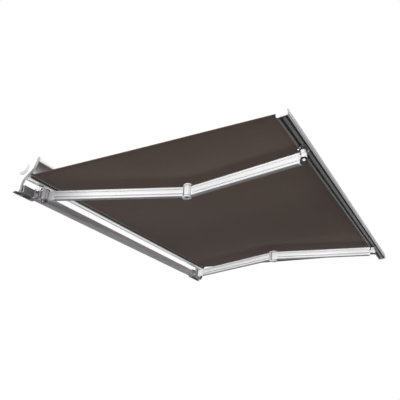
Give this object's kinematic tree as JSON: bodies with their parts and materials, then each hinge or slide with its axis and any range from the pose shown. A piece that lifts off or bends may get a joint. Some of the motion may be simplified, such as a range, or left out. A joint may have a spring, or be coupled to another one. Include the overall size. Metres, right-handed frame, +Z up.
{
  "type": "folding-arm awning",
  "caption": "Retractable canvas awning with a hood, a torsion bar on wall brackets, folding arms and a front bar.",
  "frame": {"origin": "on the wall plane, midway between the two wall brackets, at the middle height of the torsion bar", "axes": "+Z up, +Y into the wall, +X to the right as seen by someone facing the wall"},
  "size_m": [2.5366, 2.0265, 0.4525],
  "materials": {
    "aluminium": "plain mill aluminium",
    "black": "black moulded plastic",
    "brush": "grey ribbed bristle strip",
    "fabric": "dark taupe woven acrylic canvas",
    "steel": "plain zinc-plated steel",
    "white": "white powder coat",
    "white_steel": "white powder coat"
  },
  "bodies": {
    "frame": {"torsion_bar": "white_steel", "bar_plug_left": "black", "bar_plug_right": "black", "wall_bracket_left": "white_steel", "wall_bracket_right": "white_steel", "clamp_plate_left": "black", "clamp_plate_right": "black", "clamp_bolt_1_left": "steel", "clamp_bolt_1_right": "steel", "clamp_bolt_2_left": "steel", "clamp_bolt_2_right": "steel", "hood": "white", "end_cap_left": "white", "end_cap_right": "white", "end_cover_left": "white", "end_cover_right": "white", "lower_shell": "white", "brush_strip": "brush", "shoulder_bracket_left": "white", "shoulder_bracket_right": "white", "tube_motor": "steel", "idler_bearing": "steel", "tilt_bolt_left": "steel", "tilt_bolt_right": "steel"},
    "roller": {"roller_tube": "aluminium", "fabric_roll": "fabric", "drive_wheel": "black", "idler_plug": "black"},
    "tilt_left": {"tilt_block_left": "white", "shoulder_pin_left": "steel", "fabric": "fabric"},
    "tilt_right": {"tilt_block_right": "white", "shoulder_pin_right": "steel"},
    "upper_arm_left": {"shoulder_knuckle_left": "white", "upper_arm_left": "white", "elbow_fork_left": "white", "arm_spring_left": "steel", "arm_cable_left": "steel", "elbow_pin_left": "steel"},
    "upper_arm_right": {"shoulder_knuckle_right": "white", "upper_arm_right": "white", "elbow_fork_right": "white", "arm_spring_right": "steel", "arm_cable_right": "steel", "elbow_pin_right": "steel"},
    "forearm_left": {"elbow_knuckle_left": "white", "forearm_left": "white", "hand_knuckle_left": "white", "hand_pin_left": "steel"},
    "forearm_right": {"elbow_knuckle_right": "white", "forearm_right": "white", "hand_knuckle_right": "white", "hand_pin_right": "steel"},
    "front": {"front_bar": "white", "front_cap_left": "white", "front_cap_right": "white", "hand_bracket_left": "white", "hand_bracket_right": "white", "fabric_keder": "fabric"}
  },
  "joints": [
    {"name": "tilt_left_hinge", "type": "hinge", "parent": "frame", "child": "tilt_left", "pos_m": [-1.095, -0.0893, -0.021], "axis": [1, 0, 0], "range_deg": [0, 15]},
    {"name": "tilt_right_hinge", "type": "hinge", "parent": "frame", "child": "tilt_right", "pos_m": [1.095, -0.0893, -0.021], "axis": [1, 0, 0], "range_deg": [0, 15]},
    {"name": "shoulder_left_hinge", "type": "hinge", "parent": "tilt_left", "child": "upper_arm_left", "pos_m": [-1.095, -0.1433, -0.021], "axis": [0, -0.0802, 0.9968], "range_deg": [0, 67.5], "stiffness_Nm_per_rad": 40, "springref_deg": -34.38, "deforming": ["fabric"]},
    {"name": "elbow_left_hinge", "type": "hinge", "parent": "upper_arm_left", "child": "forearm_left", "pos_m": [-0.75579, -1.14222, -0.10137], "axis": [0, -0.0802, 0.9968], "range_deg": [-145.11, 0]},
    {"name": "hand_left_hinge", "type": "hinge", "parent": "forearm_left", "child": "front", "pos_m": [-0.89573, -1.98601, -0.16926], "axis": [0, -0.0802, 0.9968], "range_deg": [0, 77.61]},
    {"name": "shoulder_right_hinge", "type": "hinge", "parent": "tilt_right", "child": "upper_arm_right", "pos_m": [1.095, -0.1433, -0.021], "axis": [0, -0.0802, 0.9968], "range_deg": [-67.51, 0], "stiffness_Nm_per_rad": 40, "springref_deg": 34.38},
    {"name": "elbow_right_hinge", "type": "hinge", "parent": "upper_arm_right", "child": "forearm_right", "pos_m": [0.75579, -1.14222, -0.10137], "axis": [0, -0.0802, 0.9968], "range_deg": [0, 145.11]},
    {"name": "roller_spin", "type": "hinge", "parent": "frame", "child": "roller", "pos_m": [0, -0.0593, 0.15], "axis": [1, 0, 0], "range_deg": [0, 2065.44]}
  ],
  "couplings": [
    {"joint": "tilt_right_hinge", "follows": "tilt_left_hinge", "ratio": 1},
    {"joint": "elbow_left_hinge", "follows": "shoulder_left_hinge", "ratio": -2.1424},
    {"joint": "hand_left_hinge", "follows": "shoulder_left_hinge", "ratio": 1.1424},
    {"joint": "shoulder_right_hinge", "follows": "shoulder_left_hinge", "ratio": -1},
    {"joint": "elbow_right_hinge", "follows": "shoulder_left_hinge", "ratio": 2.1424},
    {"joint": "roller_spin", "follows": "shoulder_left_hinge", "ratio": 30.525}
  ]
}
